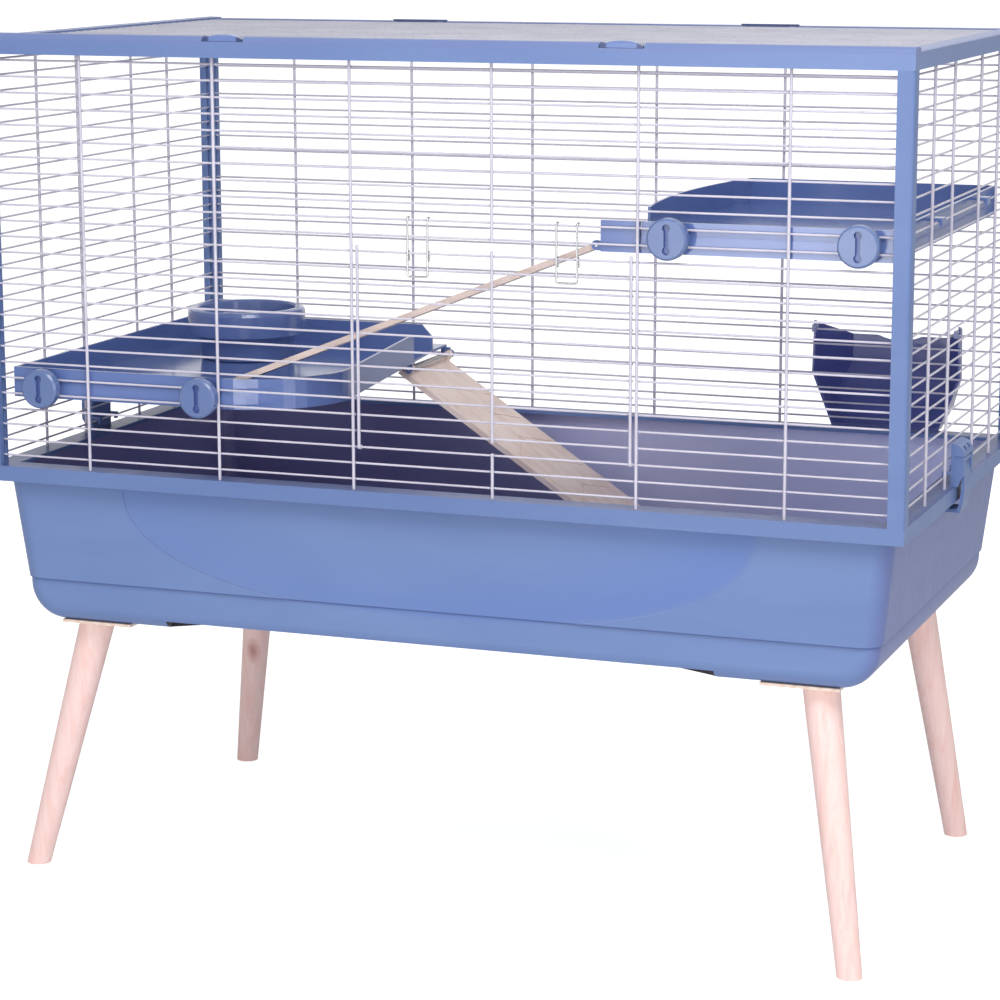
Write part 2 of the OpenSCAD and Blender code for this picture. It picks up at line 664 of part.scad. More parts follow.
// ---------- tray clips ----------
clip_pin_x = half_l + 4.5;
clip_pin_z = z_low + clip_pin_h;
clip_lever_t = 3.5;
clip_foot_z = z_skirt - 12;
clip_cheek = 5;
clip_base_x = rod_x + rod_d / 2 + 0.5;
clip_out = clip_pin_d / 2 + 2;
clip_barrel_r = clip_pin_d / 2 + 1.5;
clip_top = clip_pin_z + clip_barrel_r + 14;
clip_wide = clip_w + 2 * clip_cheek;
hood_r = 12;
module clip_bases() color(plastic_blue) at_cage()
  for (s = [-1, 1]) mirror([s < 0 ? 1 : 0, 0, 0]) translate([0, clip_y, 0])
    difference() {
      union() {
        // back plate and hood, standing on the lower frame outside the wires
        translate([clip_base_x, -clip_wide / 2, z_low]) cube([3.2, clip_wide, clip_top - z_low]);
        translate([clip_base_x, -clip_wide / 2, clip_pin_z + clip_barrel_r + 1])
          cube([clip_pin_x + clip_out - clip_base_x, clip_wide, clip_top - clip_pin_z - clip_barrel_r - 1]);
        for (e = [-1, 1]) translate([0, e * (clip_w + clip_cheek) / 2 - clip_cheek / 2, 0]) {
          translate([clip_base_x, 0, z_low])
            cube([clip_pin_x + clip_out - clip_base_x, clip_cheek, clip_pin_h + clip_out]);
          // hook over the cross wire
          translate([wire_x - wire_d / 2 - 3.4, 0, row_z(0) + wire_d / 2 + seat_gap])
            cube([clip_base_x - wire_x + wire_d / 2 + 3.4 + eps, clip_cheek, 3]);
          translate([wire_x - wire_d / 2 - 3.4, 0, row_z(0) - 3]) cube([3, clip_cheek, 4 + wire_d]);
        }
      }
      translate([clip_pin_x, -clip_w, clip_pin_z]) rotate([-90, 0, 0])
        cylinder(d = clip_pin_d + 2 * turn_gap, h = 2 * clip_w, $fn = round_fn);
      // the hood is round above, with two slots
      difference() {
        translate([clip_pin_x + clip_out - hood_r, -clip_w, clip_top - hood_r]) cube([hood_r + 5, 2 * clip_w, hood_r + 5]);
        translate([clip_pin_x + clip_out - hood_r, 0, clip_top - hood_r]) rotate([90, 0, 0])
          cylinder(r = hood_r, h = 3 * clip_w, center = true, $fn = round_fn);
      }
      for (e = [-1, 1]) translate([clip_base_x - 1, e * clip_w / 4 - 4, clip_pin_z + clip_barrel_r + 3])
        cube([4.2 + clip_pin_x - clip_base_x, 8, clip_top - clip_pin_z - clip_barrel_r - 6.5]);
      // each cheek is cut back to a curve below the pin
      translate([clip_pin_x + 22, 0, z_low - 4]) rotate([90, 0, 0])
        cylinder(r = 24, h = 3 * clip_w, center = true, $fn = 72);
    }

lever_r = 90;
lever_z = (clip_pin_z + clip_foot_z) / 2;
module clip(s) color(plastic_blue) at_cage() mirror([s < 0 ? 1 : 0, 0, 0]) translate([0, clip_y, 0]) {
  side_gap = clip_w - 2 * seat_gap;
  // pin, barrel, bowed lever and the hook that catches the tray's rib
  translate([clip_pin_x, 0, clip_pin_z]) rotate([90, 0, 0])
    cylinder(d = clip_pin_d, h = clip_wide - 1, center = true, $fn = round_fn);
  translate([clip_pin_x, 0, clip_pin_z]) rotate([90, 0, 0])
    cylinder(r = clip_barrel_r, h = side_gap, center = true, $fn = round_fn);
  intersection() {
    translate([clip_pin_x + clip_out - lever_r, 0, lever_z]) rotate([90, 0, 0]) difference() {
      cylinder(r = lever_r, h = side_gap, center = true, $fn = 180);
      cylinder(r = lever_r - clip_lever_t, h = side_gap + 2, center = true, $fn = 180);
    }
    translate([half_l, -clip_w, clip_foot_z]) cube([20, 2 * clip_w, clip_pin_z - clip_foot_z]);
  }
  translate([tray_x - 0.5, -side_gap / 2 + 3, clip_foot_z])
    cube([half_l + 2.5 - tray_x, side_gap - 6, z_skirt - 8 - 0.5 - clip_foot_z]);
}

// ---------- shelves ----------
shelf_y = -wire_y + wire_d / 2 + 0.9;
lower_z = gap_z(lower_row) - 12;
upper_z = gap_z(upper_row) - 16;
lower_x = -half_l + 30;
upper_x = half_l - 20;
lower_rear = shelf_y + lower_shelf_d;
upper_rear = shelf_y + upper_shelf_d;
land_w = 42;
land_l = ramp_w + 8;

// the lower shelf has a round free corner, then runs back and in to the landing
lower_free_x = lower_x + lower_front_l + lower_corner_r;
lower_back_x = lower_free_x - 42;
function lower_plan(t) = concat(
  [[lower_x + t, lower_rear - t], [lower_x + t, shelf_y + t]],
  arc(lower_free_x - lower_corner_r, shelf_y + lower_corner_r, lower_corner_r - t, -90, 0, 12),
  [[lower_back_x - t, lower_rear - t]]);

// the upper shelf's inner side is one long bow
upper_free_x = upper_x - upper_front_l;
upper_back_x = upper_free_x - 28;
function bow(p, q, sag, t, n) =
  let (c = norm(q - p), r = (c * c / 4 + sag * sag) / (2 * sag), u = (q - p) / c,
       o = (p + q) / 2 + [-u[1], u[0]] * (r - sag),
       a0 = atan2(p[1] - o[1], p[0] - o[0]), a1 = atan2(q[1] - o[1], q[0] - o[0]))
  arc(o[0], o[1], r - t, a0, a0 + (a1 - a0 + 360) % 360, n);
upper_bow = [[upper_back_x, upper_rear], [upper_free_x, shelf_y]];
function upper_plan(t) = concat(
  [for (p = bow(upper_bow[0], upper_bow[1], upper_bulge, t, 12))
     [p[0], min(max(p[1], shelf_y + t), upper_rear - t)]],
  [[upper_x - t, shelf_y + t], [upper_x - t, upper_rear - t]]);

side_hook_t = 3;
module shelf_hooks(x, z, rows_z, y_list) {
  // lugs that reach over a cross wire of the end wall
  s = sign(x);
  for (y = y_list) {
    translate([min(x - s * eps, s * (wire_x + 5)), y - 8, rows_z + wire_d / 2 + seat_gap])
      cube([abs(s * (wire_x + 5) - x) + eps, 16, side_hook_t]);
    translate([s > 0 ? wire_x + 2 : -wire_x - 5, y - 8, rows_z - 3])
      cube([3, 16, 6]);
  }
}

module knob_cut(x, z) {
  // round hole for the shaft, and a slot that lets the hammer head through
  translate([x, shelf_y - 1, z]) rotate([-90, 0, 0])
    cylinder(d = knob_shaft_d + 2 * turn_gap, h = shelf_t + 4, $fn = round_fn);
  translate([x - hammer_l / 2 - 0.3, shelf_y - 1, z - hammer_w / 2 - 0.2])
    cube([hammer_l + 0.6, shelf_t + 4, hammer_w + 0.4]);
}

module bar_groove(x0, x1, z) {
  // long groove in the front wall between the knobs
  translate([x0, shelf_y - 1, z + shelf_h * 0.55]) cube([x1 - x0, 1.8, 2]);
}

// a landing with two ears for a ramp's pin; s is the side that the ramp leaves on,
// out and up say where the pin lies from the landing's edge
ear_t = 4;
ear_r = 5;
module landing(x, y0, z, s, out, up) {
  translate([s > 0 ? x - land_w : x, y0, z]) cube([land_w, land_l, shelf_t]);
  for (y = [y0, y0 + land_l - ear_t]) {
    translate([x + s * out, y, z + up]) rotate([-90, 0, 0]) cylinder(r = ear_r, h = ear_t, $fn = round_fn);
    translate([s > 0 ? x - 6 : x - out, y, min(z, z + up)]) cube([6 + out, ear_t, max(abs(up), shelf_t)]);
  }
}
module landing_bore(x, y0, z, s, out, up) {
  translate([x + s * out, y0 - 1, z + up]) rotate([-90, 0, 0])
    cylinder(d = ramp_pin_d + 2 * turn_gap, h = land_l + 2, $fn = round_fn);
}

lower_land_y = wire_y - 172;
lower_land_x = lower_back_x;
lower_pin = [lower_land_x + ear_r, lower_z - 7.5];
upper_land_y = shelf_y + 8;
upper_land_x = upper_free_x - land_w;
upper_pin = [upper_land_x - 7.3, upper_z + ear_r];
lower_knob_x = [for (d = lower_knobs) -half_l + d];
upper_knob_x = [for (d = upper_knobs) half_l - d];
lower_knob_z = gap_z(lower_row);
upper_knob_z = gap_z(upper_row);

module lower_shelf() color(plastic_blue) at_cage() difference() {
  union() {
    difference() {
      translate([0, 0, lower_z]) linear_extrude(shelf_h) polygon(lower_plan(0));
      translate([0, 0, lower_z + shelf_t]) linear_extrude(shelf_h) polygon(lower_plan(shelf_t));
      // way through to the short ramp
      translate([lower_land_x - land_w, lower_land_y + ear_t, lower_z + shelf_t])
        cube([3 * land_w, lower_rear - lower_land_y - ear_t - shelf_t, shelf_h]);
    }
    landing(lower_land_x, lower_land_y, lower_z, 1, ear_r, -7.5);
    shelf_hooks(lower_x, lower_z, row_z(lower_row + 1), [-110, 110]);
  }
  // the rear wall ends on a slope
  translate([0, lower_rear + 1, 0]) rotate([90, 0, 0]) linear_extrude(shelf_t + 2)
    polygon([[lower_back_x - 14, lower_z + shelf_h + 1], [lower_back_x + 2, lower_z + shelf_h / 2],
             [lower_back_x + 9, lower_z + shelf_h / 2], [lower_back_x + 9, lower_z + shelf_h + 1]]);
  for (x = lower_knob_x) knob_cut(x, lower_knob_z);
  bar_groove(lower_knob_x[0] + knob_d / 2 + 4, lower_knob_x[1] - knob_d / 2 - 4, lower_z);
  landing_bore(lower_land_x, lower_land_y, lower_z, 1, ear_r, -7.5);
}

module upper_shelf() color(plastic_blue) at_cage() difference() {
  union() {
    difference() {
      translate([0, 0, upper_z]) linear_extrude(shelf_h - 1) polygon(upper_plan(0));
      translate([0, 0, upper_z + shelf_t]) linear_extrude(shelf_h) polygon(upper_plan(shelf_t));
      // way through to the long ramp
      translate([upper_land_x - 1, upper_land_y + ear_t, upper_z + shelf_t])
        cube([land_w + 10, land_l - 2 * ear_t, shelf_h]);
    }
    landing(upper_land_x, upper_land_y, upper_z, -1, 7.3, ear_r);
    // the landing's own front wall carries on the line of the shelf's front
    translate([upper_land_x, shelf_y, upper_z]) cube([land_w - 1.5, shelf_t, shelf_h - 1]);
    translate([upper_land_x, shelf_y, upper_z]) cube([land_w + 4, 9, shelf_t]);
    shelf_hooks(upper_x, upper_z, row_z(upper_row + 1), [-110, 110]);
  }
  for (x = upper_knob_x) knob_cut(x, upper_knob_z);
  bar_groove(upper_knob_x[0] + knob_d / 2 + 4, upper_knob_x[1] - knob_d / 2 - 4, upper_z);
  landing_bore(upper_land_x, upper_land_y, upper_z, -1, 7.3, ear_r);
}

// ---------- knobs ----------
hammer_l = 16;
hammer_w = 6;
hammer_t = 3;
grip_l = 30;
grip_w = 6;
grip_in = 4;
module knob(x, z) color(plastic_blue) at_cage() translate([x, 0, z]) rotate([90, 0, 0]) {
  difference() {
    union() {
      translate([0, 0, knob_back]) cylinder(d = knob_d, h = knob_t - 2, $fn = round_fn);
      translate([0, 0, knob_front - 2 - eps]) cylinder(d1 = knob_d, d2 = knob_d - 4, h = 2 + eps, $fn = round_fn);
    }
    // dumbbell-shaped grip
    translate([-grip_w / 2 + 0.5, -grip_l / 2 + 4, knob_front - grip_in]) cube([grip_w - 1, grip_l - 8, grip_in + 1]);
    for (s = [-1, 1]) translate([0, s * (grip_l / 2 - 4), knob_front - grip_in])
      cylinder(d = 8, h = grip_in + 1, $fn = round_fn);
  }
  back = -shelf_y - shelf_t - 0.5 - hammer_t;
  translate([0, 0, back + eps]) cylinder(d = knob_shaft_d, h = knob_back - back, $fn = round_fn);
  translate([-hammer_w / 2, -hammer_l / 2, back]) cube([hammer_w, hammer_l, hammer_t]);
}

// ---------- ramps ----------
// run and drop go from the pin to where the board's middle line meets the floor,
// hang is how far that line lies under the pin; s is the side that the board goes to
pin_in = 5.5;
module ramp_board(run, drop, hang, s) {
  len = sqrt(run * run + drop * drop - hang * hang);
  slope = atan2(drop, run) - atan2(hang, len);
  board_in = hang > 0 ? 9 : pin_in;
  difference() {
    rotate([0, s * slope, 0]) difference() {
      union() {
        translate([s > 0 ? -board_in : -len - 20, ear_t + seat_gap, -hang - ramp_t / 2])
          cube([len + 20 + board_in, ramp_w - 2 * seat_gap, ramp_t]);
        // lugs up to the pin
        if (hang > 0) for (y = [ear_t + seat_gap, ramp_w - seat_gap - 1]) {
          translate([0, y, 0]) rotate([-90, 0, 0]) cylinder(r = ear_r - 0.5, h = ear_t + 1, $fn = round_fn);
          translate([-ear_r + 0.5, y, -hang]) cube([2 * ear_r - 1, ear_t + 1, hang]);
        }
      }
      rotate([-90, 0, 0]) cylinder(d = ramp_pin_d + 2 * turn_gap, h = ramp_w + 10, $fn = round_fn);
      // zigzag grooves across the tread
      for (i = [1:floor((len - 20) / groove_pitch)])
        translate([s * i * groove_pitch, 0, ramp_t / 2 - hang - groove_h]) zigzag();
    }
    // the foot is cut level with the floor
    translate([-2 * len, -1, -drop - 2 * ramp_w]) cube([4 * len, ramp_w + 20, 2 * ramp_w]);
  }
}
zigzag_a = 24;
module zigzag() {
  half = ramp_w / 2;
  for (q = [-1, 1]) translate([0, half + ear_t, 0]) rotate(q * (90 - zigzag_a))
    translate([0, -0.8, 0]) cube([(half - 8) / cos(zigzag_a), 1.6, groove_h + 1]);
}

module long_ramp() color(ramp_wood) at_cage()
  translate([upper_pin[0], upper_land_y, upper_pin[1]])
    ramp_board(long_run, upper_pin[1] - lower_z - shelf_t - seat_gap, 0, -1);

short_hang = 10;
module short_ramp() color(ramp_wood) at_cage()
  translate([lower_pin[0], lower_land_y, lower_pin[1]])
    ramp_board(short_run, lower_pin[1] - z_floor - seat_gap, short_hang, 1);

module ramp_pin(x, y0, z) color(steel) at_cage()
  translate([x, y0 + 0.5, z]) rotate([-90, 0, 0]) cylinder(d = ramp_pin_d, h = land_l - 1, $fn = round_fn);

// ---------- bowl and hay rack ----------
bowl_x = lower_x + bowl_d / 2 + 54;
bowl_y = lower_rear - shelf_t - bowl_d / 2 - 52;
module bowl() color(plastic_blue) at_cage()
  translate([bowl_x, bowl_y, lower_z + shelf_t + seat_gap]) rotate_extrude($fn = 72) {
    r = bowl_d / 2;
    cup = r - 8;
    // cup, with a rolled rim that hangs down round it
    polygon([[0, 0], [cup - 9, 0], [cup - 7, 1], [cup, bowl_h - 8], [cup + 1, bowl_h - bowl_t - 1],
             [r - bowl_t - 1, bowl_h - bowl_t - 1], [r - bowl_t, bowl_h - bowl_t - 3], [r - bowl_t, bowl_h / 2], [r, bowl_h / 2],
             [r, bowl_h - 5], [r - 1.5, bowl_h - 1.5], [r - 5, bowl_h], [cup - 1, bowl_h], [cup - bowl_t, bowl_h - 2],
             [cup - 7 - bowl_t, bowl_t + 4], [cup - 11 - bowl_t, bowl_t], [0, bowl_t]]);
  }

rack_z0 = z_low + seat_gap;
rack_shoulder = 64;
rack_foot_d = 26;
rack_foot_in = 24;
rack_back_in = 30;
rack_drop = 24;
rack_in = rod_step + 3;
// seen from the side, from the front and from above
function rack_side(t) =
  let (y0 = t > 0 ? rack_in - 1 : rack_in, top = t > 0 ? 20 : 0)
  [[y0, t], [rack_foot_d - t * 0.8, t], [rack_d - t, rack_shoulder + t * 0.6],
   [rack_d - t, rack_h - rack_drop + top], [y0, rack_h + top]];
function rack_front(t) =
  let (w = rack_w / 2 - t)
  [[-w + rack_foot_in, t], [w - rack_foot_in, t], [w, rack_shoulder - 4 + t * 0.4],
   [w - 3, rack_h + 60], [-w + 3, rack_h + 60], [-w, rack_shoulder - 4 + t * 0.4]];
function rack_plan(t) =
  let (w = rack_w / 2 - t, b = w - rack_back_in + t * 0.5)
  [[-w, -1], [w, -1], [w, rack_in + 8], [b, rack_d - t], [-b, rack_d - t], [-w, rack_in + 8]];
module rack_prism(t) {
  intersection() {
    rotate([90, 0, 90]) linear_extrude(2 * rack_w, center = true) polygon(rack_side(t));
    rotate([90, 0, 0]) linear_extrude(4 * rack_d, center = true) polygon(rack_front(t));
    translate([0, 0, -1]) linear_extrude(2 * rack_h) polygon(rack_plan(t));
  }
}
module hay_rack() color(rack_blue) at_cage() translate([rack_x, wire_y, rack_z0]) {
  difference() {
    rack_prism(0);
    // hollow, and open towards the wires
    rack_prism(rack_t);
    // shallow scoop in the top edge of the outer wall
    translate([0, rack_d + 1, rack_h - rack_drop + 55]) rotate([90, 0, 0]) cylinder(r = 60, h = 12, $fn = 90);
  }
  // hooks that hang on a cross wire
  hook_row = floor((rack_h - 12) / wire_pitch);
  hook_z = row_z(hook_row) - rack_z0;
  for (s = [-1, 1]) translate([s * (rack_w / 2 - rack_t / 2 - 3), 0, 0]) {
    translate([-rack_t / 2 - 1, -wire_d / 2 - 4, hook_z + wire_d / 2 + seat_gap])
      cube([rack_t + 2, rack_in + wire_d / 2 + 7, 4]);
    translate([-rack_t / 2 - 1, -wire_d / 2 - 4, hook_z - 3]) cube([rack_t + 2, 3, 7]);
  }
}

// ---------- stand ----------
module leg(sx, sy, out) color(leg_pink) at_cage()
  translate([sx * leg_top_x, sy * leg_top_y, 0]) mirror([sx < 0 ? 1 : 0, 0, 0]) mirror([0, sy < 0 ? 1 : 0, 0])
    difference() {
      lean = atan(norm(out) / leg_h);
      long = leg_h / cos(lean);
      taper = (leg_top_d - leg_foot_d) * 20 / long;
      translate([0, 0, z_board]) rotate([0, 0, atan2(out[1], out[0])]) rotate([0, 180 - lean, 0]) rotate([0, 0, 35])
        translate([0, 0, -20])
          cylinder(d1 = leg_top_d + taper, d2 = leg_foot_d - taper, h = long + 40, $fn = round_fn);
      translate([-150, -150, z_board]) cube([300, 300, 60]);
      translate([-150, -150, -60]) cube([300, 300, 60]);
      translate([0, 0, z_board - bolt_in]) cylinder(d = bolt_d + 0.2, h = bolt_in + 1, $fn = round_fn);
    }
bolt_in = 30;
module stand_board(s) color(board_cream) at_cage() difference() {
  translate([s * (leg_top_x - 14) - board_w / 2, -board_l / 2, z_board]) cube([board_w, board_l, board_t]);
  for (sy = [-1, 1]) {
    translate([s * leg_top_x, sy * leg_top_y, z_board - 1]) cylinder(d = bolt_d + 0.2, h = board_t + 2, $fn = round_fn);
    translate([s * leg_top_x, sy * screw_y, z_board - 1]) cylinder(d = screw_d + 0.4, h = board_t + 2, $fn = round_fn);
  }
}

module leg_bolts() color(steel) at_cage()
  for (sx = [-1, 1], sy = [-1, 1]) translate([sx * leg_top_x, sy * leg_top_y, z_board - bolt_in]) {
    cylinder(d = bolt_d, h = bolt_in + board_t, $fn = round_fn);
    // low nut on top of the board, inside the tray's foot
    translate([0, 0, bolt_in + board_t - eps]) cylinder(d = bolt_d * 1.9, h = 5, $fn = 6);
  }

module tray_screws() color(steel) at_cage()
  screw_places() {
    translate([0, 0, z_board - 2.4]) cylinder(d = 2 * screw_d, h = 2.4, $fn = round_fn);
    translate([0, 0, z_board - eps]) cylinder(d = screw_d, h = board_t + foot_h - 1, $fn = round_fn);
  }

tray();
lower_frame();
top_frame();
post(-1, -1);  // post_front_left
post(1, -1);  // post_front_right
post(-1, 1);  // post_rear_left
post(1, 1);  // post_rear_right
front_panel();
rear_panel();
end_panel(-1);  // left_panel
end_panel(1);  // right_panel
roof_lid();
lid_hinges();
lid_latch(-1);  // lid_latch_left
lid_latch(1);  // lid_latch_right
front_door();
door_latch(0);  // door_latch_left
door_latch(1);  // door_latch_right
clip_bases();
clip(-1);  // clip_left
clip(1);  // clip_right
lower_shelf();
upper_shelf();
knob(lower_knob_x[0], lower_knob_z);  // knob_lower_left
knob(lower_knob_x[1], lower_knob_z);  // knob_lower_right
knob(upper_knob_x[0], upper_knob_z);  // knob_upper_left
knob(upper_knob_x[1], upper_knob_z);  // knob_upper_right
long_ramp();
ramp_pin(upper_pin[0], upper_land_y, upper_pin[1]);  // long_ramp_pin
short_ramp();
ramp_pin(lower_pin[0], lower_land_y, lower_pin[1]);  // short_ramp_pin
bowl();
hay_rack();
leg(-1, -1, odd_splay);  // leg_front_left
leg(1, -1, [splay_x, splay_y]);  // leg_front_right
leg(-1, 1, [splay_x, splay_y]);  // leg_rear_left
leg(1, 1, [splay_x, splay_y]);  // leg_rear_right
stand_board(-1);  // stand_board_left
stand_board(1);  // stand_board_right
leg_bolts();
tray_screws();
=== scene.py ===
import math
import bpy
from mathutils import Matrix, Vector


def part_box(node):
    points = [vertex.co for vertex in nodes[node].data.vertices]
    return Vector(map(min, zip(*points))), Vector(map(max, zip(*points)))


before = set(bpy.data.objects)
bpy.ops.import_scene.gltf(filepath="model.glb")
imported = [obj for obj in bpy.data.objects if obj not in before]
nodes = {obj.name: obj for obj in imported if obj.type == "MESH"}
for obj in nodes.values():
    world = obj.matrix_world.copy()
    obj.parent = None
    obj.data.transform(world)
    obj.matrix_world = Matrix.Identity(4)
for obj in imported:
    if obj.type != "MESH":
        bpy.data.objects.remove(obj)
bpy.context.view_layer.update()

scene = bpy.context.scene

# places and sizes on the object, in metres
CAGE_Y = -0.029825
TRAY_MIDDLE_Z = 0.38
# the tray's inside starts in this band, within the thickness of its floor
TRAY_INSIDE_Z = (0.304, 0.3055)
TRAY_STEP_Z = 0.3396
PANEL_HALF_W, PANEL_H, PANEL_TOP_Z = 0.345, 0.115, 0.4495
FOOT_GAP_X, FOOT_GAP_Z = 0.3042, 0.3029
LEDGE_Z = (0.4648, 0.4668)
CROWN_Z = 0.9158
LID_LATCH_X = 0.212
# painted shade darkens a lid latch from this far from its middle
LATCH_END = (0.0145, 0.0165)
KNOB_SLOT_R = 0.0175
KNOB_SLOT_Y = (-0.3114, -0.3)
LEG_H = 0.291
LEG_LEAN = (0.045, 0.039)
FRONT_LEFT_LEAN = (0.089, -0.009)
KNOT = (-0.4225, 0.2135 + CAGE_Y, 0.15)

PANEL_POWER = 2.3
KNOT_SQUASH = (1, 1, 0.55)


# ---------- camera ----------
AZIMUTH, ELEVATION, ROLL = 20.54, 11.32, -0.115
LOOK_AT = (-0.01659, CAGE_Y, 0.408)
DISTANCE = 3.33453
SENSOR, LENS = 36.0, 108.75


def make_camera():
    az, el, roll = math.radians(AZIMUTH), math.radians(ELEVATION), math.radians(ROLL)
    back = Vector((math.sin(az) * math.cos(el), -math.cos(az) * math.cos(el), math.sin(el)))
    right = (-back).cross(Vector((0, 0, 1))).normalized()
    up = right.cross(-back)
    rolled_right = right * math.cos(roll) + up * math.sin(roll)
    rolled_up = up * math.cos(roll) - right * math.sin(roll)
    data = bpy.data.cameras.new("camera")
    data.sensor_width = SENSOR
    data.lens = LENS
    data.clip_start = 0.05
    data.clip_end = 60.0
    cam = bpy.data.objects.new("camera", data)
    scene.collection.objects.link(cam)
    place = Matrix((rolled_right, rolled_up, back)).transposed().to_4x4()
    place.translation = Vector(LOOK_AT) + back * DISTANCE
    cam.matrix_world = place
    scene.camera = cam


make_camera()


# ---------- node helpers ----------
def bright(hexa, k=1.0):
    """A hex colour as linear RGBA, times k."""
    out = []
    for i in (0, 2, 4):
        v = int(hexa[i:i + 2], 16) / 255
        v = v / 12.92 if v <= 0.04045 else ((v + 0.055) / 1.055) ** 2.4
        out.append(min(1, v * k))
    return (*out, 1)


def fill(node, values):
    """Set a node's inputs by name, with _ for each space."""
    for k, v in values.items():
        node.inputs[k.replace("_", " ")].default_value = v


class Tree:
    """Adds nodes to a node tree."""

    def __init__(self, tree):
        self.t = tree

    def node(self, kind, **values):
        n = self.t.nodes.new(kind)
        fill(n, values)
        return n

    def link(self, a, b):
        self.t.links.new(a, b)

    def split(self, vector, name):
        n = self.node("ShaderNodeSeparateXYZ")
        self.link(vector, n.inputs["Vector"])
        return n.outputs[name]

    def span(self, fac, lo, hi, a, b):
        """fac from a..b mapped to lo..hi, held at the ends."""
        n = self.node("ShaderNodeMapRange", From_Min=a, From_Max=b, To_Min=lo, To_Max=hi)
        self.link(fac, n.inputs["Value"])
        return n.outputs["Result"]

    def math(self, op, a, b=None):
        n = self.node("ShaderNodeMath")
        n.operation = op
        for i, v in enumerate((a, b)):
            if isinstance(v, (int, float)):
                n.inputs[i].default_value = v
            elif v is not None:
                self.link(v, n.inputs[i])
        return n.outputs[0]

    def times(self, a, b):
        return self.math("MULTIPLY", a, b)

    def off(self, a, b):
        """How far a lies from b."""
        return self.math("ABSOLUTE", self.math("SUBTRACT", a, b))

    def above(self, value, limit):
        return self.math("GREATER_THAN", value, limit)

    def below(self, value, limit):
        return self.math("LESS_THAN", value, limit)

    def between(self, value, limits):
        return self.times(self.above(value, limits[0]), self.below(value, limits[1]))

    def ray(self, *kinds):
        """1 for a ray of any of these kinds."""
        path = self.node("ShaderNodeLightPath")
        seen = path.outputs[kinds[0]]
        for kind in kinds[1:]:
            seen = self.math("MAXIMUM", seen, path.outputs[kind])
        return seen


class Mat(Tree):
    """A new material m, with its Principled shader b."""

    def __init__(self, name):
        self.m = bpy.data.materials.new(name)
        self.m.use_nodes = True
        super().__init__(self.m.node_tree)
        self.b = self.t.nodes["Principled BSDF"]

    def set(self, **values):
        fill(self.b, values)

    def color(self, c):
        self.link(c, self.b.inputs["Base Color"])

    def rough(self, c):
        self.link(c, self.b.inputs["Roughness"])

    def place(self):
        """This point in the object's own coordinates."""
        return self.node("ShaderNodeTexCoord").outputs["Object"]

    def axis(self, name):
        return self.split(self.place(), name)

    def facing(self, name):
        """The surface's own normal along an axis, from -1 to 1."""
        return self.split(self.node("ShaderNodeNewGeometry").outputs["True Normal"], name)

    def coords(self, scale=(1, 1, 1), rot=(0, 0, 0), loc=(0, 0, 0)):
        n = self.node("ShaderNodeMapping", Scale=scale, Rotation=rot, Location=loc)
        self.link(self.place(), n.inputs["Vector"])
        return n.outputs["Vector"]

    def noise(self, vec, scale, detail=3.0, rough=0.5, distort=0.0):
        n = self.node("ShaderNodeTexNoise", Scale=scale, Detail=detail, Roughness=rough, Distortion=distort)
        self.link(vec, n.inputs["Vector"])
        return n.outputs["Fac"]

    def wave(self, vec, scale, distort, detail):
        n = self.node("ShaderNodeTexWave", Scale=scale, Distortion=distort, Detail=detail)
        self.link(vec, n.inputs["Vector"])
        return n.outputs["Fac"]

    def ramp(self, fac, stops):
        n = self.node("ShaderNodeValToRGB")
        e = n.color_ramp.elements
        while len(e) < len(stops):
            e.new(0.5)
        for i, (position, tone) in enumerate(stops):
            e[i].position = position
            e[i].color = tone
        self.link(fac, n.inputs["Fac"])
        return n.outputs["Color"]

    def mix(self, fac, a, b):
        n = self.node("ShaderNodeMix")
        n.data_type = "RGBA"
        for k, v in ((0, fac), (6, a), (7, b)):
            if hasattr(v, "is_linked"):
                self.link(v, n.inputs[k])
            else:
                n.inputs[k].default_value = v
        return n.outputs[2]

    def bump(self, height, strength, dist, under=None):
        n = self.node("ShaderNodeBump", Strength=strength, Distance=dist)
        self.link(height, n.inputs["Height"])
        if under is not None:
            self.link(under, n.inputs["Normal"])
        self.link(n.outputs["Normal"], self.b.inputs["Normal"])
        return n.outputs["Normal"]


# ---------- materials ----------
def plastic(name, tones, rough, coat=0.0, extra=None, ior=1.47, level=0.5, peel=0.012, wave=0.05):
    """Moulded plastic: slow drift between two tones, fine orange peel and faint scuffs."""
    m = Mat(name)
    v = m.coords()
    drift = m.noise(v, 3.2, 4, 0.5, 0.4)
    flow = m.noise(m.coords((1.2, 1.2, 7)), 2.2, 3, 0.5, 1.2)
    tone = m.mix(m.span(m.math("ADD", drift, flow), 0, 1, 0.75, 1.25), bright(tones[0]), bright(tones[1]))
    if extra:
        tone = extra(m, tone)
    m.color(tone)
    scuff = m.noise(m.coords((14, 40, 14), (0.2, 0.5, 0.1)), 4, 3, 0.5)
    m.rough(m.span(scuff, rough - 0.03, rough + 0.04, 0.3, 0.75))
    m.bump(m.noise(v, 240, 1, 0.4), peel, 0.0003, m.bump(m.noise(v, 7, 2, 0.5), wave, 0.004))
    m.set(IOR=ior, Specular_IOR_Level=level, Coat_Weight=coat, Coat_Roughness=0.1)
    return m.m


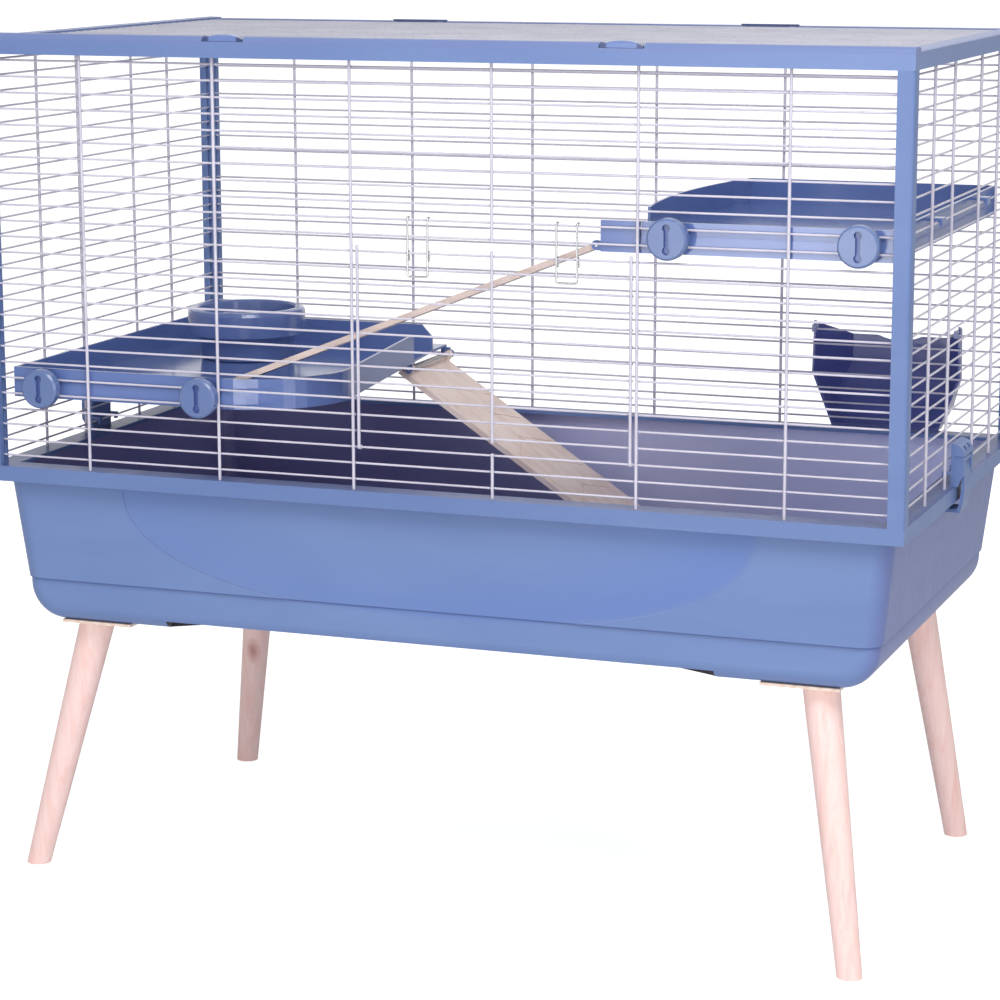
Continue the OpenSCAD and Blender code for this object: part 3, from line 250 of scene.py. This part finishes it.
def panel_rim_shade(m, x, y, z):
    """How far painted shade deepens the front's dished panel: most at its rim and to its right."""
    across = m.math("POWER", m.math("DIVIDE", m.math("ABSOLUTE", x), PANEL_HALF_W), PANEL_POWER)
    drop = m.math("MAXIMUM", m.math("DIVIDE", m.math("SUBTRACT", PANEL_TOP_Z, z), PANEL_H), 0.0)
    out = m.math("ADD", across, m.math("POWER", drop, PANEL_POWER))
    rim = m.times(m.span(out, 0.0, 1.0, 0.1, 0.8), m.span(out, 1.0, 0.0, 0.98, 1.06))
    side = m.span(x, 0.55, 1.0, -0.2, 0.2)
    front = m.span(y, 1.0, 0.0, -0.2, -0.15)
    return m.times(m.times(rim, side), m.times(front, 0.6))


def tray_inside(m, z):
    """1 on the tray's floor and inner walls, which face its middle."""
    flat = m.node("ShaderNodeVectorMath")
    flat.operation = "DOT_PRODUCT"
    m.link(m.node("ShaderNodeNewGeometry").outputs["Normal"], flat.inputs[0])
    m.link(m.coords(loc=(0, -CAGE_Y, -TRAY_MIDDLE_Z)), flat.inputs[1])
    return m.times(m.span(flat.outputs["Value"], 1.0, 0.0, -0.05, -0.02), m.span(z, 0.0, 1.0, *TRAY_INSIDE_Z))


def tray_painted_light_shade(m, tone):
    """Painted light and shade on the tray, set by place on the tray."""
    x, y, z = m.axis("X"), m.axis("Y"), m.axis("Z")
    # painted shade on the dished front panel, deepest at its rim and to the right
    tone = m.mix(panel_rim_shade(m, x, y, z), tone, bright("6580C0"))
    # painted shade darkens the inside at the left and painted light pales it at the right
    inside = tray_inside(m, z)
    inside_light_shade = m.mix(m.span(x, 0.0, 1.0, -0.25, 0.25), bright("8781B2"), bright("DEE0FF"))
    tone = m.mix(m.times(inside, 0.85), tone, inside_light_shade)
    outside = m.math("SUBTRACT", 1.0, inside)
    # painted shade: the right end is a duller, darker violet
    end_shade = m.times(m.span(m.facing("X"), 0.0, 1.0, 0.2, 0.95), outside)
    tone = m.mix(m.times(end_shade, 0.5), tone, bright("6A6CA8"))
    # painted shade in the step round the wall
    step_shade = m.times(m.span(m.off(z, TRAY_STEP_Z), 1.0, 0.0, 0.0006, 0.0014), outside)
    tone = m.mix(m.times(step_shade, 0.6), tone, bright("4A5C98"))
    # painted shade in the gaps where the feet slope up behind the front wall
    gap_shade = m.times(m.below(m.math("ABSOLUTE", x), FOOT_GAP_X), m.below(z, FOOT_GAP_Z))
    return m.mix(gap_shade, tone, bright("2C2830"))


def frame_painted_shade(m, tone):
    """Painted shade: the lower frame's inner ledge and the top frame's crown are darker."""
    z = m.axis("Z")
    # painted shade on the inner ledge, then on the crown
    ledge = m.times(m.between(z, LEDGE_Z), m.above(m.facing("Z"), 0.5))
    tone = m.mix(m.times(ledge, 0.65), tone, bright("4A5488"))
    return m.mix(m.times(m.above(z, CROWN_Z), 0.6), tone, bright("7482B2"))


def latch_painted_shade(m, tone):
    """Painted shade: the sliding lid latches are darker at their ends."""
    off = m.off(m.math("ABSOLUTE", m.axis("X")), LID_LATCH_X)
    return m.mix(m.span(off, 0.0, 0.85, *LATCH_END), tone, bright("323A66"))


def knob_slot_shade(x, z):
    """Painted shade: the slot in the face of the knob at x, z is deeper blue."""
    def tones(m, tone):
        dx, dz = m.math("SUBTRACT", m.axis("X"), x), m.math("SUBTRACT", m.axis("Z"), z)
        r2 = m.math("ADD", m.times(dx, dx), m.times(dz, dz))
        slot = m.times(m.below(r2, KNOB_SLOT_R ** 2), m.between(m.axis("Y"), KNOB_SLOT_Y))
        return m.mix(m.times(slot, 0.7), tone, bright("4C5EA0"))
    return tones


def painted_wire(name, tones):
    """Wire under a thin coat of paint in two close tones."""
    m = Mat(name)
    v = m.coords()
    m.color(m.mix(m.span(m.noise(v, 18, 3, 0.6), 0, 1, 0.35, 0.65), bright(tones[0]), bright(tones[1])))
    m.rough(m.span(m.noise(v, 160, 3, 0.6), 0.24, 0.4, 0.3, 0.7))
    m.bump(m.noise(v, 700, 2, 0.5), 0.08, 0.0003)
    m.set(IOR=1.5, Coat_Weight=0.3, Coat_Roughness=0.1)
    return m.m


def metal(name, tone, rough):
    """Bare steel with fine marks across its height."""
    m = Mat(name)
    v = m.coords((1, 1, 40))
    worn = (*(c * 0.8 for c in tone), 1)
    m.color(m.mix(m.span(m.noise(v, 30, 4, 0.6), 0, 1, 0.3, 0.7), (*tone, 1), worn))
    m.rough(m.span(m.noise(v, 90, 3, 0.5), rough - 0.06, rough + 0.08, 0.3, 0.7))
    m.bump(m.noise(v, 240, 2, 0.5), 0.05, 0.0002)
    m.set(Metallic=1.0)
    return m.m


def leg_wood(name, lean, knot=None):
    """Pale pink stained wood, with its grain along the leg."""
    m = Mat(name)
    grain = m.noise(m.coords((34, 34, 2.2), lean), 4.2, 6, 0.62, 0.8)
    fine = m.noise(m.coords((260, 260, 7), lean), 3.0, 5, 0.65)
    tone = m.ramp(grain, [(0.25, bright("FFE3DE")), (0.5, bright("FCDAD4")),
                          (0.68, bright("F7CDC5")), (0.85, bright("EEBDB4"))])
    tone = m.mix(m.span(fine, 0.0, 0.14, 0.45, 0.8), tone, bright("DDAAA2"))
    if knot:
        n = m.node("ShaderNodeVectorMath")
        n.operation = "LENGTH"
        m.link(m.coords(KNOT_SQUASH, loc=tuple(-c * k for c, k in zip(knot, KNOT_SQUASH))), n.inputs[0])
        ragged = m.times(m.noise(m.coords(), 160, 3), 0.004)
        d = m.math("ADD", n.outputs["Value"], ragged)
        tone = m.mix(m.span(d, 0.75, 0.0, 0.004, 0.013), tone, bright("B97668"))
    m.color(tone)
    m.rough(m.span(fine, 0.42, 0.6, 0.3, 0.8))
    m.bump(m.math("ADD", m.times(grain, 0.5), fine), 0.16, 0.0006)
    m.set(Specular_IOR_Level=0.4, Coat_Weight=0.08, Coat_Roughness=0.35)
    return m.m


def board_wood(name, tones, along, depth, shade=0.0):
    """Plain sawn wood for the ramps and the stand boards; shade is painted shade that greys its front edge."""
    m = Mat(name)
    v = m.coords(along)
    bands = m.wave(v, 1.6, 6.0, 3.0)
    grain = m.noise(v, 6.0, 6, 0.65, 0.6)
    tone = m.ramp(m.math("ADD", m.times(bands, 0.35), m.times(grain, 0.75)),
                  [(0.25, bright(tones[0])), (0.55, bright(tones[1])), (0.8, bright(tones[2]))])
    pores = m.noise(m.coords(tuple(c * 6 for c in along)), 9.0, 4, 0.7)
    tone = m.mix(m.span(pores, 0.0, 0.16 * depth, 0.55, 0.8), tone, bright(tones[2], 0.6))
    # painted shade greys the faces that look to the front
    side = m.times(m.below(m.facing("Y"), -0.5), shade)
    m.color(m.mix(side, tone, bright("C9B9B5")))
    m.rough(m.span(grain, 0.5, 0.68, 0.3, 0.7))
    m.bump(m.math("ADD", grain, pores), 0.14 * depth, 0.0005)
    m.set(Specular_IOR_Level=0.35)
    return m.m


# ---------- dress the CAD nodes ----------
def bevel(names, width, segments=3):
    for n in names:
        mod = nodes[n].modifiers.new("edge_round", "BEVEL")
        mod.width = width
        mod.segments = segments
        mod.limit_method = "ANGLE"
        mod.angle_limit = math.radians(40)
        mod.harden_normals = True
        mod.use_clamp_overlap = True


def dress(names, mat):
    for n in names:
        nodes[n].data.materials.clear()
        nodes[n].data.materials.append(mat)


posts = ["post_front_left", "post_front_right", "post_rear_left", "post_rear_right"]
legs = ["leg_front_left", "leg_front_right", "leg_rear_left", "leg_rear_right"]
knobs = ["knob_lower_left", "knob_lower_right", "knob_upper_left", "knob_upper_right"]
clips = ["clip_left", "clip_right"]
lid_latches = ["lid_latch_left", "lid_latch_right"]
shelves = ["lower_shelf", "upper_shelf"]
boards = ["stand_board_left", "stand_board_right"]

dress(["tray"], plastic("tray_plastic", ("748BBC", "6D84B6"), 0.33, extra=tray_painted_light_shade, level=0.3))
dress(["lower_frame", "clip_bases"] + clips + posts,
      plastic("frame_plastic", ("6C82B3", "647AAC"), 0.33, extra=frame_painted_shade, level=0.3, peel=0.0, wave=0.0))
dress(["top_frame"], plastic("top_frame_plastic", ("7288BA", "6A80B4"), 0.32, extra=frame_painted_shade,
                             ior=1.6, level=0.3, peel=0.0, wave=0.0))
dress(["bowl"], plastic("bowl_plastic", ("6276AE", "586CA4"), 0.16, 0.5, ior=1.55))
dress(shelves, plastic("shelf_plastic", ("667BB4", "5A70AA"), 0.15, 0.3, ior=1.6))
dress(["hay_rack"], plastic("rack_plastic", ("5A62A6", "4E5698"), 0.18, 0.3, ior=1.55))
dress(lid_latches, plastic("lid_latch_plastic", ("6E84BC", "667CB4"), 0.2, 0.2, latch_painted_shade))
dress(["lid_hinges"], plastic("hinge_plastic", ("59658F", "505B86"), 0.3))
dress(["front_panel", "rear_panel", "left_panel", "right_panel", "front_door"],
      painted_wire("wire_paint", ("D2CEDC", "C4C0D0")))
# painted shade: the roof's wire paint is a darker copy of the panels' wire paint
dress(["roof_lid"], painted_wire("roof_wire_paint_in_shade", ("BCBBC8", "AEAEBC")))
dress(["door_latch_left", "door_latch_right"], metal("latch_steel", (0.78, 0.78, 0.8), 0.28))
dress(["long_ramp_pin", "short_ramp_pin", "leg_bolts", "tray_screws"],
      metal("bolt_steel", (0.55, 0.56, 0.58), 0.3))
dress(["long_ramp"], board_wood("long_ramp_wood", ("F3E1D8", "ECD8CD", "E4CDC1"), (3, 40, 10), 0.2, 0.6))
dress(["short_ramp"], board_wood("short_ramp_wood", ("FAE9E1", "F4E0D6", "ECD6CA"), (3, 40, 10), 0.2))
dress(boards, board_wood("board_wood", ("F6E4D6", "F1DACB", "E8CBB9"), (14, 2, 14), 0.4))
for n in knobs:
    low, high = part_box(n)
    middle = ((low[0] + high[0]) / 2, (low[2] + high[2]) / 2)
    dress([n], plastic(n + "_plastic", ("687CAA", "6074A4"), 0.24, 0.2, knob_slot_shade(*middle)))
for n in legs:
    sx = -1 if n.endswith("left") else 1
    sy = -1 if "front" in n else 1
    out = FRONT_LEFT_LEAN if n == "leg_front_left" else LEG_LEAN
    lean = (math.atan(out[1] / LEG_H) * sy, -math.atan(out[0] / LEG_H) * sx, 0)
    dress([n], leg_wood(n + "_wood", lean, KNOT if n == "leg_rear_left" else None))

bevel(["tray"], 0.0016)
bevel(["top_frame"], 0.0014)
bevel(["lower_frame", "long_ramp", "short_ramp"], 0.0012)
bevel(boards, 0.001)
bevel(shelves + lid_latches + posts, 0.0009)
bevel(["hay_rack", "lid_hinges"] + clips, 0.0008)
bevel(["clip_bases"], 0.0007)
bevel(knobs, 0.0007, segments=2)
bevel(legs, 0.0018)


# ---------- floor, backdrop and light ----------
FLOOR_HALF = 30.0
FLOOR_GLOW = 0.7
ROOM_DIM = 0.45
ROOM_DIFFUSE = 0.52


def make_floor():
    data = bpy.data.meshes.new("floor")
    s = FLOOR_HALF
    data.from_pydata([(-s, -s, 0), (s, -s, 0), (s, s, 0), (-s, s, 0)], [], [(0, 1, 2, 3)])
    o = bpy.data.objects.new("floor", data)
    scene.collection.objects.link(o)
    m = Mat("floor_white")
    m.set(Base_Color=(0.86, 0.86, 0.87, 1), Roughness=0.9, Specular_IOR_Level=0.1, Emission_Color=(1, 1, 1, 1))
    # a plain white backdrop to the camera, which still takes the shadow
    m.link(m.times(m.ray("Is Camera Ray", "Is Transmission Ray"), FLOOR_GLOW), m.b.inputs["Emission Strength"])
    data.materials.append(m.m)


def make_world():
    w = bpy.data.worlds.new("studio")
    scene.world = w
    w.use_nodes = True
    t = Tree(w.node_tree)
    # gloss sees the white backdrop behind the cage, and the dimmer room to the front and right
    way = t.node("ShaderNodeTexCoord").outputs["Generated"]
    room = t.math("MINIMUM", t.span(t.split(way, "Y"), ROOM_DIM, 1.0, 0.3, 0.75),
                  t.span(t.split(way, "X"), 1.0, ROOM_DIM, 0.1, 0.3))
    level = ROOM_DIFFUSE
    for seen, to in ((t.ray("Is Glossy Ray"), room), (t.ray("Is Camera Ray", "Is Transmission Ray"), 1.0)):
        n = t.node("ShaderNodeMix")
        t.link(seen, n.inputs["Factor"])
        for socket, v in ((n.inputs["A"], level), (n.inputs["B"], to)):
            if isinstance(v, float):
                socket.default_value = v
            else:
                t.link(v, socket)
        level = n.outputs["Result"]
    background = w.node_tree.nodes["Background"]
    fill(background, {"Color": (1, 1, 1, 1)})
    t.link(level, background.inputs["Strength"])


def area(name, place, aim, size, power):
    d = bpy.data.lights.new(name, "AREA")
    d.shape = "RECTANGLE"
    d.size, d.size_y = size
    d.energy = power
    o = bpy.data.objects.new(name, d)
    scene.collection.objects.link(o)
    o.location = place
    o.rotation_euler = (Vector(aim) - Vector(place)).to_track_quat("-Z", "Y").to_euler()


make_floor()
make_world()
area("key", (-0.1, -3.1, 0.5), (-0.1, 0, 0.4), (1.2, 0.9), 14)
area("side", (2.3, -2.0, 0.95), (0, 0, 0.75), (0.4, 1.7), 10)
area("top", (0.9, -1.7, 2.7), (0.15, 0.1, 0.4), (1.6, 1.2), 48)

scene.view_settings.view_transform = "Standard"
